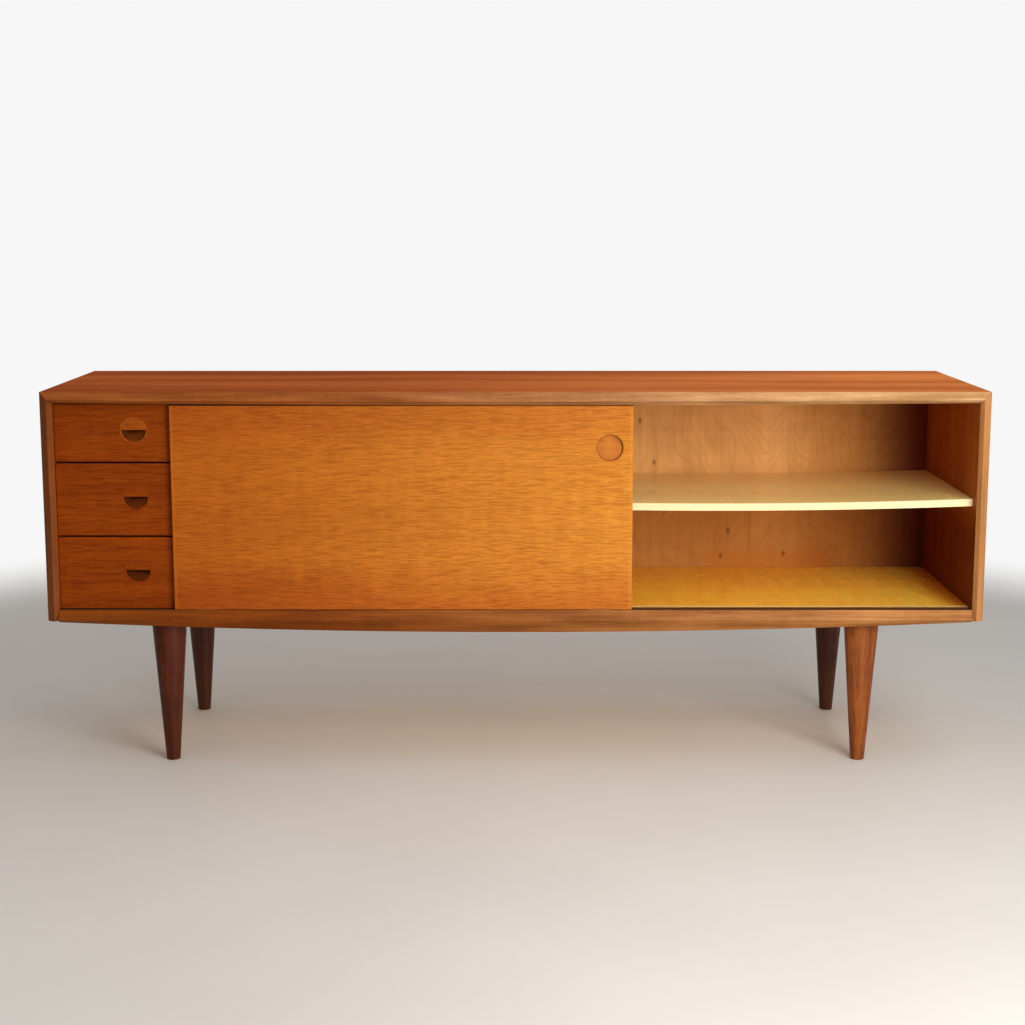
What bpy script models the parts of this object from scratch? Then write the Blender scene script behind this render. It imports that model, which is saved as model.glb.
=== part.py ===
"""Low teak sideboard on four turned legs: two sliding doors, three drawers and one shelf.

The carcase is a mitred box of veneered boards whose front edges carry solid V-shaped
lippings. The lower front rail hangs down in a shallow arc. Two equal doors slide in two
parallel grooves. The front door passes the drawers, the rear door runs in their plane.

Frame: metres, +Z up, X along the length, the front faces -Y. The origin lies on the floor
under the middle of the piece.
"""

import math

import bmesh
import bpy
from mathutils import Matrix, Vector

# Driving sizes -----------------------------------------------------------------------

OVERALL_WIDTH = 1.800
OVERALL_DEPTH = 0.476
LEG_HEIGHT = 0.291            # floor to the underside of the carcase
CARCASE_HEIGHT = 0.442
BOARD = 0.021                 # thickness of the carcase boards
GAP = 0.0003                  # air between two pieces that touch

# V-shaped lippings on the front edges
RIDGE_IN = 0.0145             # from the outer face of a board to the ridge
OUTER_SETBACK = 0.010         # how far the outer corner lies behind the ridge
INNER_SETBACK = 0.009
LIPPING_DEPTH = 0.0107        # ridge to the glued back face
TOP_RIDGE_SAG = 0.003         # the top ridge dips this much at mid length
TOP_EDGE_SAG = 0.004          # and so does the lower edge of the top lipping
RAIL_RIDGE_RISE = 0.003       # the lower ridge stands this much above the underside
RAIL_DROP_END = 0.003         # how far the lower rail hangs below the underside
RAIL_DROP_MIDDLE = 0.0225
RAIL_STATIONS = 33            # sections along a curved rail

# Sliding doors and their tracks
DOOR_WIDTH = 0.879
DOOR_THICKNESS = 0.011
DOOR_FACE_BEHIND_RIDGE = 0.0105
DOOR_CLEARANCE = 0.0015       # between the two doors, and door to drawer
DOOR_TO_FLOOR = 0.001
DOOR_TO_TOP = 0.0055
DOOR_LEFT_AT_REST = -0.6555   # both doors are parked one behind the other
TONGUE_THICKNESS = 0.0042
TONGUE_HEIGHT = 0.0125
GROOVE_WIDTH = 0.005
TRACK_DEPTH = 0.0245          # front to back
LOWER_TRACK_HEIGHT = 0.009
LOWER_GROOVE_DEPTH = 0.006
UPPER_TRACK_HEIGHT = 0.0105
UPPER_GROOVE_DEPTH = 0.0085
GLIDE_LENGTH = 0.040
GLIDE_INSET = 0.060           # door edge to the middle of a glide
DOOR_PULL_RADIUS = 0.0258
DOOR_PULL_DEPTH = 0.0075
DOOR_PULL_FROM_EDGE = 0.0437
DOOR_PULL_FROM_TOP = 0.080
DOOR_PULL_HOLLOW = 0.0054      # depth of the dish

# Drawers, from top to bottom
DRAWER_FRONT_HEIGHTS = (0.110, 0.139, 0.139)
DRAWER_FRONT_GAP = 0.0038
DRAWER_BOTTOM_GAP = 0.001
DRAWER_FRONT_WIDTH = 0.220
DRAWER_FRONT_THICKNESS = 0.014
DRAWER_SIDE_CLEARANCE = 0.0015
DRAWER_SIDE_THICKNESS = 0.010
DRAWER_BOX_LENGTH = 0.390
DRAWER_BOX_RAISE = 0.008      # underside of the box above the front's lower edge
DRAWER_BOX_LOWER = 0.020      # how much lower the box is than its front
DRAWER_BACK_THICKNESS = 0.010
DRAWER_BACK_DROP = 0.004
DRAWER_BOTTOM = 0.004
DRAWER_BOTTOM_RAISE = 0.008
DRAWER_BOTTOM_INSET = 0.0042
RUNNER_SHARE = 0.35           # runner height as a share of the side's height
RUNNER_HEIGHT = 0.008
RUNNER_REACH = 0.0065
RUNNER_LENGTH = 0.380
NOTCH_DEPTH = 0.0055
NOTCH_HEIGHT = 0.009
DRAWER_PULL_RADIUS = 0.0262
DRAWER_PULL_DEPTH = 0.012
DRAWER_PULL_RAISE = 0.0055    # pull centre above the middle of the front
DRAWER_PULL_FROM_RIGHT = 0.0695
PULL_LIP = 0.003              # thickness of the half disc that the fingers hook behind
PULL_MOUTH_RADIUS = 0.0242
PULL_BOWL_RADIUS = 0.0238
PULL_BOWL_DEPTH = 0.0104      # front face to the bottom of the turned bowl

# Inside of the carcase
DIVIDER_THICKNESS = 0.016
BAY_DIVIDER_RIGHT = -0.100
BAY_DIVIDER_BEHIND_DOOR = 0.002
BACK_PANEL_THICKNESS = 0.008
BACK_PANEL_SETBACK = 0.024    # from the rear edge to the rear face of the panel
SHELF_THICKNESS = 0.014
SHELF_END_HEIGHT = 0.2335     # underside of the carcase to the shelf's top at its ends
SHELF_SAG = 0.009
SHELF_END_GAP = 0.0008
SHELF_TO_BACK = 0.006
SHELF_SEGMENTS = 24
PIN_RADIUS = 0.0025
PIN_HOLE_RADIUS = 0.0028
PIN_REACH = 0.0095
PIN_SUNK = 0.0087
PIN_HOLE_DEPTH = 0.009
PIN_PLACES_Y = (-0.150, 0.140)
PIN_STEPS = 16

# Legs
LEG_CENTRE_X = 0.677
LEG_CENTRES_Y = {"front": -0.174, "rear": 0.193}
LEG_TOP_RADIUS = 0.034
LEG_FOOT_RADIUS = 0.0135
LEG_FOOT_BEVEL = 0.0015
LEG_TENON_RADIUS = 0.0125
LEG_TENON_HEIGHT = 0.0094
LEG_BLOCK_SIZE = 0.088
LEG_BLOCK_THICKNESS = 0.010
LEG_BLOCK_HOLE_RADIUS = 0.0132

# Making
ROUND_STEPS = 40              # sides of a turned piece
BOWL_STEPS = (32, 14)         # around a hollow and over it
MERGE_DISTANCE = 0.00001
SHARP_ANGLE = 35              # degrees
CUTTER_OVERRUN = 0.002        # how far a cutter stands out of the piece it cuts
CUTTER_OVERLAP = 0.001        # how far two cuts in one piece run into each other

# Sizes that follow from them ---------------------------------------------------------

FRONT = -OVERALL_DEPTH / 2
BACK = OVERALL_DEPTH / 2
LEFT = -OVERALL_WIDTH / 2
RIGHT = OVERALL_WIDTH / 2
UNDERSIDE = LEG_HEIGHT
TOP = LEG_HEIGHT + CARCASE_HEIGHT
INNER_LEFT = LEFT + BOARD
INNER_RIGHT = RIGHT - BOARD
INNER_FLOOR = UNDERSIDE + BOARD
INNER_TOP = TOP - BOARD
BOARD_FRONT = FRONT + LIPPING_DEPTH + GAP
TRACK_BACK = BOARD_FRONT + TRACK_DEPTH
MITRE_GAP = GAP * math.sqrt(2)

FRONT_DOOR_FACE = FRONT + DOOR_FACE_BEHIND_RIDGE
REAR_DOOR_FACE = FRONT_DOOR_FACE + DOOR_THICKNESS + DOOR_CLEARANCE
GROOVE_CENTRES = (FRONT_DOOR_FACE + DOOR_THICKNESS / 2, REAR_DOOR_FACE + DOOR_THICKNESS / 2)
DOOR_BOTTOM = INNER_FLOOR + DOOR_TO_FLOOR
DOOR_TOP = INNER_TOP - DOOR_TO_TOP

DRAWER_FACE = REAR_DOOR_FACE
DRAWER_LEFT = INNER_LEFT + DRAWER_SIDE_CLEARANCE
DRAWER_RIGHT = DRAWER_LEFT + DRAWER_FRONT_WIDTH
DRAWER_BOX_FRONT = DRAWER_FACE + DRAWER_FRONT_THICKNESS + GAP
DRAWER_BOX_BACK = DRAWER_BOX_FRONT + DRAWER_BOX_LENGTH
DRAWER_DIVIDER_RIGHT = DRAWER_RIGHT
DRAWER_DIVIDER_LEFT = DRAWER_DIVIDER_RIGHT - DIVIDER_THICKNESS
DRAWER_BOX_RIGHT = DRAWER_DIVIDER_LEFT - DRAWER_SIDE_CLEARANCE
DRAWER_DIVIDER_FRONT = DRAWER_BOX_FRONT + GAP
BAY_DIVIDER_FRONT = REAR_DOOR_FACE + DOOR_THICKNESS + BAY_DIVIDER_BEHIND_DOOR
BAY_DIVIDER_LEFT = BAY_DIVIDER_RIGHT - DIVIDER_THICKNESS
BACK_PANEL_REAR = BACK - BACK_PANEL_SETBACK
BACK_PANEL_FRONT = BACK_PANEL_REAR - BACK_PANEL_THICKNESS
SHELF_LEFT = BAY_DIVIDER_RIGHT + SHELF_END_GAP
SHELF_RIGHT = INNER_RIGHT - SHELF_END_GAP
SHELF_BACK = BACK_PANEL_FRONT - SHELF_TO_BACK
SHELF_END_TOP = UNDERSIDE + SHELF_END_HEIGHT

# Colours: base colour, roughness, metallic -------------------------------------------

FINISHES = {
    "teak_top": ((0.30, 0.095, 0.030), 0.42, 0.0),
    "teak_side": ((0.26, 0.085, 0.028), 0.45, 0.0),
    "teak_solid": ((0.31, 0.125, 0.048), 0.50, 0.0),
    "teak_door": ((0.52, 0.185, 0.035), 0.42, 0.0),
    "teak_drawer": ((0.30, 0.085, 0.018), 0.45, 0.0),
    "birch_back": ((0.62, 0.36, 0.15), 0.50, 0.0),
    "birch_shelf": ((0.78, 0.55, 0.20), 0.40, 0.0),
    "birch_floor": ((0.66, 0.36, 0.06), 0.38, 0.0),
    "drawer_box": ((0.62, 0.42, 0.22), 0.55, 0.0),
    "track_wood": ((0.10, 0.035, 0.012), 0.50, 0.0),
    "leg_wood": ((0.085, 0.024, 0.010), 0.38, 0.0),
    "nylon": ((0.70, 0.68, 0.60), 0.45, 0.0),
    "pin_brass": ((0.72, 0.52, 0.22), 0.30, 1.0),
}

materials = {}


# Scene and materials -----------------------------------------------------------------

def clear_scene():
    for old in list(bpy.data.objects):
        bpy.data.objects.remove(old, do_unlink=True)


def make_collection(name):
    collection = bpy.data.collections.new(name)
    bpy.context.scene.collection.children.link(collection)
    return collection


def make_material(name, colour, roughness, metallic):
    made = bpy.data.materials.new(name)
    made.use_nodes = True
    shader = made.node_tree.nodes["Principled BSDF"]
    shader.inputs["Base Color"].default_value = (*colour, 1.0)
    shader.inputs["Roughness"].default_value = roughness
    shader.inputs["Metallic"].default_value = metallic
    return made


# Meshes, all made in world coordinates ------------------------------------------------

def box_mesh(low, high):
    """A cube primitive stretched between two corners."""
    low, high = Vector(low), Vector(high)
    shape = bmesh.new()
    place = Matrix.Translation((low + high) / 2) @ Matrix.Diagonal((*(high - low), 1.0))
    bmesh.ops.create_cube(shape, size=1.0, matrix=place)
    return finished(shape)


def cylinder_mesh(centre, direction, radius, length, steps=ROUND_STEPS):
    """A capped cylinder about the given centre, along the given direction."""
    shape = bmesh.new()
    turn = Vector(direction).to_track_quat("Z", "Y").to_matrix().to_4x4()
    bmesh.ops.create_cone(
        shape, cap_ends=True, segments=steps, radius1=radius, radius2=radius, depth=length,
        matrix=Matrix.Translation(centre) @ turn)
    return finished(shape)


def bowl_mesh(centre, radius, depth):
    """A flattened ball, round in the XZ plane and as deep as given along Y."""
    shape = bmesh.new()
    place = Matrix.Translation(centre) @ Matrix.Diagonal((radius, depth, radius, 1.0))
    turn = Matrix.Rotation(math.radians(90), 4, "X")
    around, over = BOWL_STEPS
    bmesh.ops.create_uvsphere(
        shape, u_segments=around, v_segments=over, radius=1.0, matrix=place @ turn)
    return finished(shape)


def finished(shape):
    mesh = bpy.data.meshes.new("shape")
    shape.to_mesh(mesh)
    shape.free()
    return mesh


def axis_frame(axis):
    """Turns the flat outline's plane so that its thickness lies along a world axis.

    Along X the outline's points are (y, z), along Y they are (x, z), along Z (x, y).
    """
    columns = {
        "X": ((0, 1, 0), (0, 0, 1), (1, 0, 0)),
        "Y": ((1, 0, 0), (0, 0, 1), (0, -1, 0)),
        "Z": ((1, 0, 0), (0, 1, 0), (0, 0, 1)),
    }
    return Matrix(columns[axis]).transposed().to_4x4()


def extruded_mesh(outline, axis, start, end):
    """A flat outline, filled and extruded from start to end along one world axis."""
    curve = bpy.data.curves.new("outline", "CURVE")
    curve.dimensions = "2D"
    curve.fill_mode = "BOTH"
    curve.extrude = (end - start) / 2
    spline = curve.splines.new("POLY")
    spline.points.add(len(outline) - 1)
    for point, (across, up) in zip(spline.points, outline):
        point.co = (across, up, 0.0, 1.0)
    spline.use_cyclic_u = True
    holder = bpy.data.objects.new("outline", curve)
    bpy.context.scene.collection.objects.link(holder)
    graph = bpy.context.evaluated_depsgraph_get()
    mesh = bpy.data.meshes.new_from_object(holder.evaluated_get(graph))
    bpy.data.objects.remove(holder, do_unlink=True)
    middle = Vector(axis_frame(axis).col[2][:3]) * (start + end) / 2
    if axis == "Y":
        middle = -middle
    shape = bmesh.new()
    shape.from_mesh(mesh)
    bmesh.ops.remove_doubles(shape, verts=shape.verts, dist=MERGE_DISTANCE)
    bmesh.ops.recalc_face_normals(shape, faces=shape.faces)
    shape.transform(Matrix.Translation(middle) @ axis_frame(axis))
    return finished(shape)


def cut_by_plane(mesh, point, normal):
    """Cuts off what lies in front of a plane and closes the cut."""
    shape = bmesh.new()
    shape.from_mesh(mesh)
    everything = shape.verts[:] + shape.edges[:] + shape.faces[:]
    bmesh.ops.bisect_plane(
        shape, geom=everything, plane_co=point, plane_no=normal, clear_outer=True)
    rim = [edge for edge in shape.edges if edge.is_boundary]
    bmesh.ops.holes_fill(shape, edges=rim)
    bmesh.ops.recalc_face_normals(shape, faces=shape.faces)
    shape.to_mesh(mesh)
    shape.free()
    return mesh


def loft_mesh(sections):
    """Skins a row of closed sections with the same number of points, and caps both ends."""
    shape = bmesh.new()
    rings = [[shape.verts.new(point) for point in section] for section in sections]
    count = len(rings[0])
    for near, far in zip(rings, rings[1:]):
        for i in range(count):
            j = (i + 1) % count
            shape.faces.new((near[i], near[j], far[j], far[i]))
    shape.faces.new(rings[0])
    shape.faces.new(rings[-1])
    bmesh.ops.recalc_face_normals(shape, faces=shape.faces)
    return finished(shape)


def half_disc(centre_x, centre_z, radius, steps=20):
    """The lower half of a disc in the XZ plane."""
    turns = [math.pi + math.pi * i / steps for i in range(steps + 1)]
    return [(centre_x + radius * math.cos(a), centre_z + radius * math.sin(a)) for a in turns]


# Objects -----------------------------------------------------------------------------

def add_empty(name, location):
    empty = bpy.data.objects.new(name, None)
    empty.location = location
    parts.objects.link(empty)
    return empty


def add_piece(name, mesh, finish, parent=None):
    """One piece: its mesh is centred on its own box, and the object is placed there."""
    corners = [vertex.co for vertex in mesh.vertices]
    low = Vector([min(corner[i] for corner in corners) for i in range(3)])
    high = Vector([max(corner[i] for corner in corners) for i in range(3)])
    centre = (low + high) / 2
    mesh.transform(Matrix.Translation(-centre))
    mesh.name = name
    mesh.materials.append(materials[finish])
    piece = bpy.data.objects.new(name, mesh)
    piece.location = centre
    if parent is not None:
        piece.parent = parent
        piece.location = centre - parent.location
    parts.objects.link(piece)
    return piece


def add_turned_piece(name, profile, finish, location, tilt=None, parent=None):
    """A turned piece: a profile from the upper end of its axis to the lower one."""
    mesh = bpy.data.meshes.new(name)
    edges = [(i, i + 1) for i in range(len(profile) - 1)]
    mesh.from_pydata([(radius, 0.0, height) for radius, height in profile], edges, [])
    mesh.materials.append(materials[finish])
    piece = bpy.data.objects.new(name, mesh)
    piece.location = location
    if tilt is not None:
        piece.rotation_euler = tilt
    if parent is not None:
        piece.parent = parent
        piece.location = Vector(location) - parent.location
    screw = piece.modifiers.new("turn", "SCREW")
    screw.axis = "Z"
    screw.steps = ROUND_STEPS
    screw.render_steps = ROUND_STEPS
    screw.use_merge_vertices = True
    screw.merge_threshold = MERGE_DISTANCE
    screw.use_smooth_shade = True
    parts.objects.link(piece)
    return piece


def smooth(piece):
    """Shades a round piece smooth but keeps its sharp edges."""
    piece.data.shade_smooth()
    piece.data.set_sharp_from_angle(angle=math.radians(SHARP_ANGLE))


def cut(piece, name, cutter_mesh):
    """Subtracts a cutter, given in world coordinates, from a piece."""
    cutter = bpy.data.objects.new(name, cutter_mesh)
    cutter.hide_render = True
    cutter.display_type = "WIRE"
    cutters.objects.link(cutter)
    boolean = piece.modifiers.new(name, "BOOLEAN")
    boolean.operation = "DIFFERENCE"
    boolean.solver = "EXACT"
    boolean.object = cutter


# Carcase -----------------------------------------------------------------------------

def build_top():
    rebate = INNER_TOP + UPPER_TRACK_HEIGHT
    outline = [
        (BOARD_FRONT, TOP), (BACK, TOP), (BACK, INNER_TOP),
        (TRACK_BACK + GAP, INNER_TOP), (TRACK_BACK + GAP, rebate), (BOARD_FRONT, rebate)]
    mesh = extruded_mesh(outline, "X", LEFT, RIGHT)
    for side in (-1, 1):
        cut_by_plane(mesh, (side * RIGHT, 0, TOP), (side, 0, -1))
    add_piece("top_panel", mesh, "teak_top")


def build_sides():
    for name, side in (("left", -1), ("right", 1)):
        outline = [
            (side * RIGHT, UNDERSIDE), (side * INNER_RIGHT, UNDERSIDE),
            (side * INNER_RIGHT, INNER_TOP - MITRE_GAP), (side * RIGHT, TOP - MITRE_GAP)]
        mesh = extruded_mesh(outline, "Y", BOARD_FRONT, BACK)
        piece = add_piece(f"{name}_side_panel", mesh, "teak_side")
        if side > 0:
            drill_pin_holes(piece, INNER_RIGHT, 1)


def build_floor():
    rebate = INNER_FLOOR - LOWER_TRACK_HEIGHT
    outline = [
        (BOARD_FRONT, UNDERSIDE), (BACK, UNDERSIDE), (BACK, INNER_FLOOR),
        (TRACK_BACK + GAP, INNER_FLOOR), (TRACK_BACK + GAP, rebate), (BOARD_FRONT, rebate)]
    mesh = extruded_mesh(outline, "X", INNER_LEFT + GAP, INNER_RIGHT - GAP)
    add_piece("bottom_panel", mesh, "birch_floor")


def build_back_and_dividers():
    low, high = INNER_FLOOR + GAP, INNER_TOP - GAP
    back = box_mesh(
        (INNER_LEFT + GAP, BACK_PANEL_FRONT, low), (INNER_RIGHT - GAP, BACK_PANEL_REAR, high))
    add_piece("back_panel", back, "birch_back")
    rear = BACK_PANEL_FRONT - GAP
    near_drawers = box_mesh(
        (DRAWER_DIVIDER_LEFT, DRAWER_DIVIDER_FRONT, low), (DRAWER_DIVIDER_RIGHT, rear, high))
    add_piece("drawer_divider", near_drawers, "teak_side")
    between_bays = box_mesh(
        (BAY_DIVIDER_LEFT, BAY_DIVIDER_FRONT, low), (BAY_DIVIDER_RIGHT, rear, high))
    piece = add_piece("bay_divider", between_bays, "teak_side")
    drill_pin_holes(piece, BAY_DIVIDER_RIGHT, -1)


def lipping_section(board_face, inward, ridge_in=RIDGE_IN, width=BOARD):
    """Section of a V lipping as (place across the board's thickness, y)."""
    back = FRONT + LIPPING_DEPTH
    return [
        (board_face, back),
        (board_face, FRONT + OUTER_SETBACK),
        (board_face + inward * ridge_in, FRONT),
        (board_face + inward * width, FRONT + INNER_SETBACK),
        (board_face + inward * width, back)]


def arc_share(x):
    """0 at both ends of the carcase and 1 in the middle, along a shallow arc."""
    return 1.0 - (x / INNER_RIGHT) ** 2


def build_side_lippings():
    for name, side in (("left", -1), ("right", 1)):
        section = lipping_section(side * RIGHT, -side)
        lower = [(x, y, UNDERSIDE) for x, y in section]
        upper = [(x, y, TOP - MITRE_GAP - abs(side * RIGHT - x)) for x, y in section]
        add_piece(f"{name}_lipping", loft_mesh([lower, upper]), "teak_solid")


def build_top_lipping():
    sections = []
    for i in range(RAIL_STATIONS):
        share = -1.0 + 2.0 * i / (RAIL_STATIONS - 1)
        sag = 1.0 - share ** 2
        section = lipping_section(
            TOP, -1, RIDGE_IN + TOP_RIDGE_SAG * sag, BOARD + TOP_EDGE_SAG * sag)
        # the ends run along the mitre, so each height has its own half length
        sections.append([(share * (RIGHT - (TOP - z)), y, z) for z, y in section])
    add_piece("top_lipping", loft_mesh(sections), "teak_solid")


def build_lower_rail():
    """The front rail under the doors: straight ridge, arched lower edge."""
    back = FRONT + LIPPING_DEPTH
    half_length = INNER_RIGHT - GAP
    sections = []
    for i in range(RAIL_STATIONS):
        x = half_length * (-1.0 + 2.0 * i / (RAIL_STATIONS - 1))
        drop = RAIL_DROP_END + (RAIL_DROP_MIDDLE - RAIL_DROP_END) * arc_share(x)
        lower_edge = UNDERSIDE - drop
        sections.append([
            (x, back, INNER_FLOOR),
            (x, FRONT + INNER_SETBACK, INNER_FLOOR),
            (x, FRONT, UNDERSIDE + RAIL_RIDGE_RISE),
            (x, FRONT + OUTER_SETBACK, lower_edge),
            (x, back, lower_edge)])
    add_piece("lower_front_rail", loft_mesh(sections), "teak_solid")


def track_outline(base, mouth, groove_floor):
    """A strip with two grooves; mouth is the height of the grooved face."""
    outline = [(BOARD_FRONT, base), (BOARD_FRONT, mouth)]
    for centre in GROOVE_CENTRES:
        outline += [
            (centre - GROOVE_WIDTH / 2, mouth), (centre - GROOVE_WIDTH / 2, groove_floor),
            (centre + GROOVE_WIDTH / 2, groove_floor), (centre + GROOVE_WIDTH / 2, mouth)]
    return outline + [(TRACK_BACK, mouth), (TRACK_BACK, base)]


def build_tracks():
    lower = track_outline(
        INNER_FLOOR - LOWER_TRACK_HEIGHT + GAP, INNER_FLOOR, INNER_FLOOR - LOWER_GROOVE_DEPTH)
    upper = track_outline(
        INNER_TOP + UPPER_TRACK_HEIGHT - GAP, INNER_TOP, INNER_TOP + UPPER_GROOVE_DEPTH)
    for name, outline in (("lower_door_track", lower), ("upper_door_track", upper)):
        mesh = extruded_mesh(outline, "X", INNER_LEFT + GAP, INNER_RIGHT - GAP)
        add_piece(name, mesh, "track_wood")


# Shelf -------------------------------------------------------------------------------

def shelf_top_at(x):
    """Height of the sagging shelf's top surface."""
    middle = (SHELF_LEFT + SHELF_RIGHT) / 2
    half_span = (SHELF_RIGHT - SHELF_LEFT) / 2
    return SHELF_END_TOP - SHELF_SAG * (1.0 - ((x - middle) / half_span) ** 2)


def pin_height():
    inner_tip = SHELF_LEFT + PIN_REACH
    return shelf_top_at(inner_tip) - SHELF_THICKNESS - GAP - PIN_RADIUS


def drill_pin_holes(piece, face_x, into_x):
    """Blind holes for the shelf pins in an upright's face."""
    for i, y in enumerate(PIN_PLACES_Y):
        mouth = Vector((face_x, y, pin_height()))
        centre = mouth + Vector((into_x * (PIN_HOLE_DEPTH - CUTTER_OVERRUN) / 2, 0, 0))
        mesh = cylinder_mesh(
            centre, (1, 0, 0), PIN_HOLE_RADIUS, PIN_HOLE_DEPTH + CUTTER_OVERRUN, PIN_STEPS)
        cut(piece, f"{piece.name}_pin_hole_{i}", mesh)


def build_shelf():
    stations = [
        SHELF_LEFT + (SHELF_RIGHT - SHELF_LEFT) * i / SHELF_SEGMENTS
        for i in range(SHELF_SEGMENTS + 1)]
    top = [(x, shelf_top_at(x)) for x in stations]
    underside = [(x, z - SHELF_THICKNESS) for x, z in reversed(top)]
    mesh = extruded_mesh(top + underside, "Y", BAY_DIVIDER_FRONT, SHELF_BACK)
    add_piece("shelf", mesh, "birch_shelf")
    for side_name, face, inward in (("left", BAY_DIVIDER_RIGHT, 1), ("right", INNER_RIGHT, -1)):
        for place_name, y in zip(("front", "rear"), PIN_PLACES_Y):
            middle = face + inward * (PIN_REACH - PIN_SUNK) / 2
            mesh = cylinder_mesh(
                (middle, y, pin_height()), (1, 0, 0), PIN_RADIUS, PIN_REACH + PIN_SUNK,
                PIN_STEPS)
            piece = add_piece(f"shelf_pin_{side_name}_{place_name}", mesh, "pin_brass")
            smooth(piece)


# Legs --------------------------------------------------------------------------------

def build_legs():
    block_top = UNDERSIDE - GAP
    block_bottom = block_top - LEG_BLOCK_THICKNESS
    shoulder = block_bottom - GAP
    profile = [
        (0.0, shoulder + LEG_TENON_HEIGHT), (LEG_TENON_RADIUS, shoulder + LEG_TENON_HEIGHT),
        (LEG_TENON_RADIUS, shoulder), (LEG_TOP_RADIUS, shoulder),
        (LEG_FOOT_RADIUS, LEG_FOOT_BEVEL), (LEG_FOOT_RADIUS - LEG_FOOT_BEVEL, 0.0), (0.0, 0.0)]
    half = LEG_BLOCK_SIZE / 2
    for row, y in LEG_CENTRES_Y.items():
        for side_name, x in (("left", -LEG_CENTRE_X), ("right", LEG_CENTRE_X)):
            add_turned_piece(f"leg_{row}_{side_name}", profile, "leg_wood", (x, y, 0.0))
            low = (x - half, y - half, block_bottom)
            if row == "rear":
                # the rear blocks are cut off in line with the carcase
                high = (x + half, min(y + half, BACK), block_top)
            else:
                high = (x + half, y + half, block_top)
            block = add_piece(f"leg_block_{row}_{side_name}", box_mesh(low, high), "drawer_box")
            hole = cylinder_mesh(
                (x, y, (block_top + block_bottom) / 2), (0, 0, 1), LEG_BLOCK_HOLE_RADIUS,
                LEG_BLOCK_THICKNESS + 2 * CUTTER_OVERRUN)
            cut(block, f"leg_socket_{row}_{side_name}", hole)


# Drawers -----------------------------------------------------------------------------

def drawer_side_outline(outer, inward, base, height):
    """Section of a drawer side: runner notch outside, bottom groove inside."""
    inner = outer + inward * DRAWER_SIDE_THICKNESS
    notch_low = base + height * RUNNER_SHARE - NOTCH_HEIGHT / 2
    groove_low = base + DRAWER_BOTTOM_RAISE
    groove_high = groove_low + DRAWER_BOTTOM + 2 * GAP
    return [
        (outer, base), (outer, notch_low), (outer + inward * NOTCH_DEPTH, notch_low),
        (outer + inward * NOTCH_DEPTH, notch_low + NOTCH_HEIGHT),
        (outer, notch_low + NOTCH_HEIGHT), (outer, base + height), (inner, base + height),
        (inner, groove_high), (inner - inward * (DRAWER_BOTTOM_INSET + GAP), groove_high),
        (inner - inward * (DRAWER_BOTTOM_INSET + GAP), groove_low), (inner, groove_low),
        (inner, base)]


def build_drawer_pull(name, centre_x, centre_z, front, body):
    """A round insert whose lower half is open, so that fingers hook behind the upper half."""
    pocket = cylinder_mesh(
        (centre_x, DRAWER_FACE, centre_z), (0, 1, 0), DRAWER_PULL_RADIUS + GAP,
        2 * (DRAWER_PULL_DEPTH + GAP))
    cut(front, f"{name}_pocket", pocket)
    insert_mesh = cylinder_mesh(
        (centre_x, DRAWER_FACE + DRAWER_PULL_DEPTH / 2, centre_z), (0, 1, 0),
        DRAWER_PULL_RADIUS, DRAWER_PULL_DEPTH)
    insert = add_piece(name, insert_mesh, "teak_solid", body)
    mouth = extruded_mesh(
        half_disc(centre_x, centre_z, PULL_MOUTH_RADIUS), "Y",
        DRAWER_FACE - CUTTER_OVERRUN, DRAWER_FACE + PULL_LIP + CUTTER_OVERLAP)
    cut(insert, f"{name}_mouth", mouth)
    bowl = bowl_mesh(
        (centre_x, DRAWER_FACE + PULL_LIP, centre_z), PULL_BOWL_RADIUS,
        PULL_BOWL_DEPTH - PULL_LIP)
    behind_lip = cut_by_plane(bowl, (0, DRAWER_FACE + PULL_LIP, 0), (0, -1, 0))
    cut(insert, f"{name}_bowl", behind_lip)
    smooth(insert)


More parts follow.
